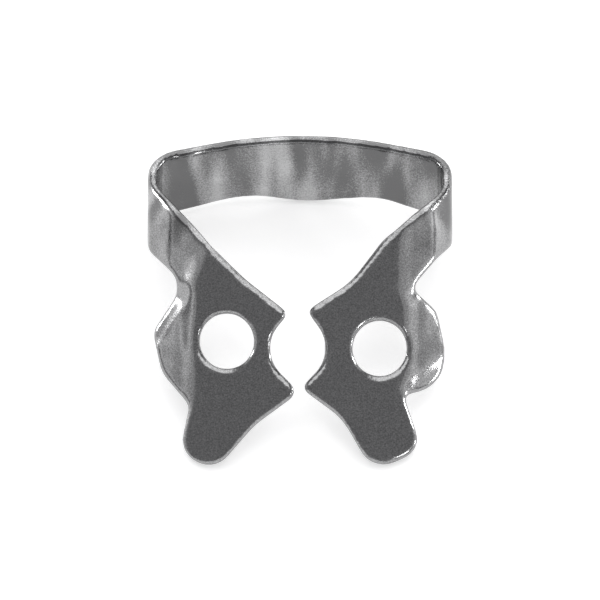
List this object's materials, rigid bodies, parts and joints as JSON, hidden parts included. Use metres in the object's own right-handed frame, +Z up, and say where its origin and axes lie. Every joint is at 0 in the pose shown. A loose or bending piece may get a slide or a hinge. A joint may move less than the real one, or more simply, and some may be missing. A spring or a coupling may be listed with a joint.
{
  "type": "rubber dam clamp",
  "caption": "Winged spring-steel clamp, stamped and bent from one sheet: a bow joins two jaws with pointed prongs, forceps holes and wings that hold a rubber dam.",
  "frame": {"origin": "middle of the bounding box in plan, at the floor the clamp lies on", "axes": "+Z up, +Y towards the bow, -Y towards the front wings, +X to the right jaw as seen from above"},
  "size_m": [0.0234, 0.0262, 0.0094],
  "materials": {
    "steel": "satin, tumbled"
  },
  "bodies": {
    "root": {"clamp": "steel"}
  },
  "joints": []
}
